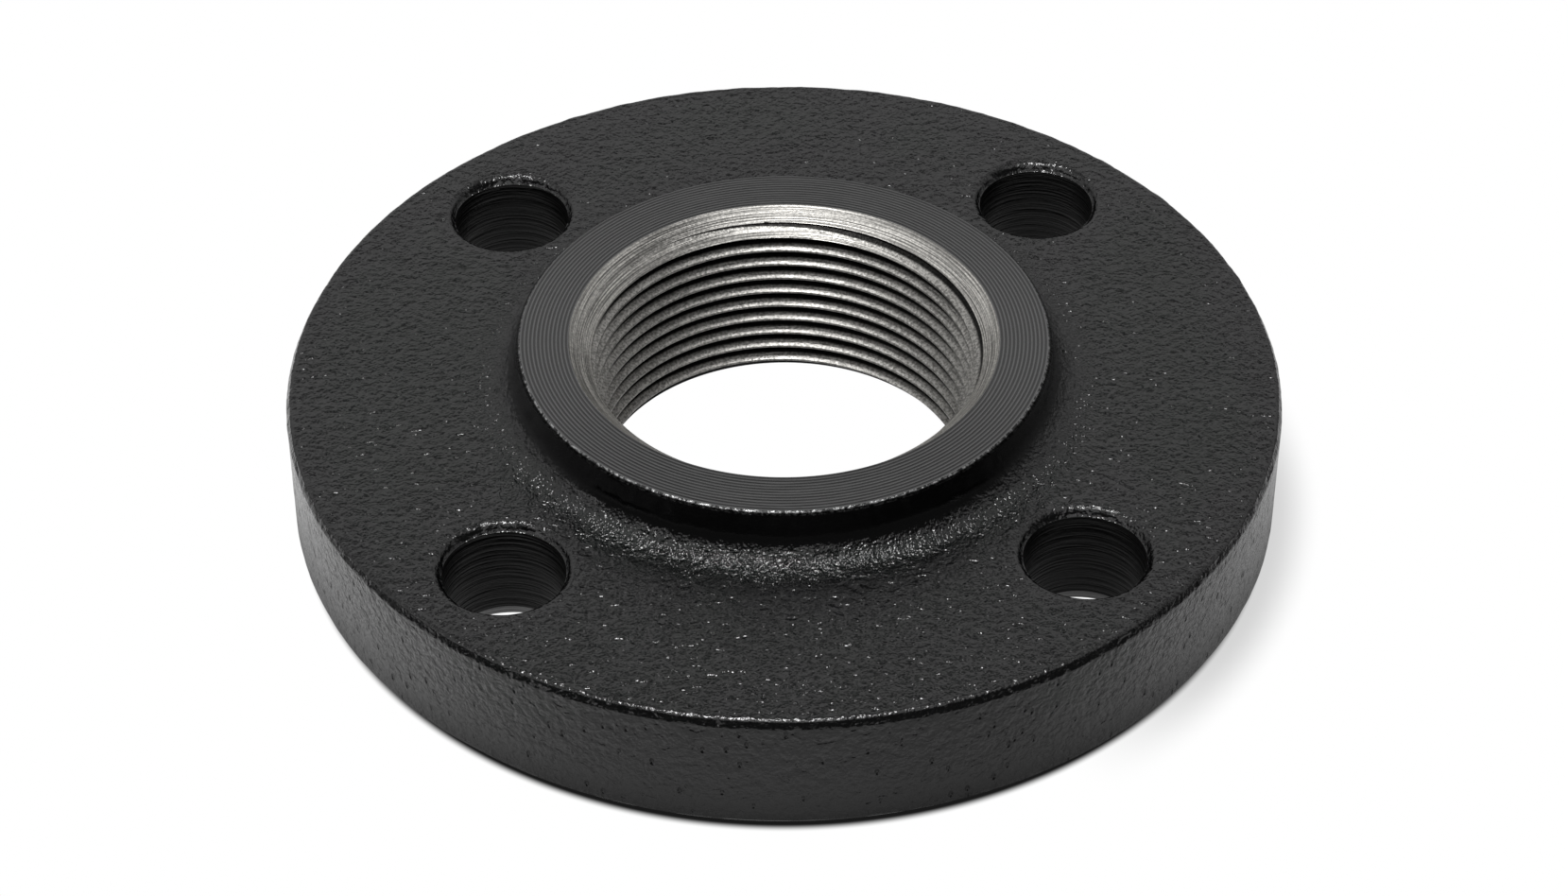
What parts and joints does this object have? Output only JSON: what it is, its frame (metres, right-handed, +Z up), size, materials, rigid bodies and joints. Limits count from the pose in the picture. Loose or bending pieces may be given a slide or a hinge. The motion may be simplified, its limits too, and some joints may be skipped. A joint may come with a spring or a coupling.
{
  "type": "threaded pipe flange",
  "caption": "Round steel pipe flange with a short hub, an internal taper pipe thread, chamfered bolt holes on one circle and a low raised face underneath.",
  "frame": {"origin": "centre of the raised face, on the plane that the flange rests on", "axes": "+Z runs up the bore, out of the hub; the bolt holes stand astride the X and Y axes"},
  "size_m": [0.1778, 0.1778, 0.0343],
  "materials": {
    "black_paint": "semi-gloss black paint over a forged skin, with a bare machined countersink and thread"
  },
  "bodies": {
    "root": {"flange": "black_paint"}
  },
  "joints": []
}
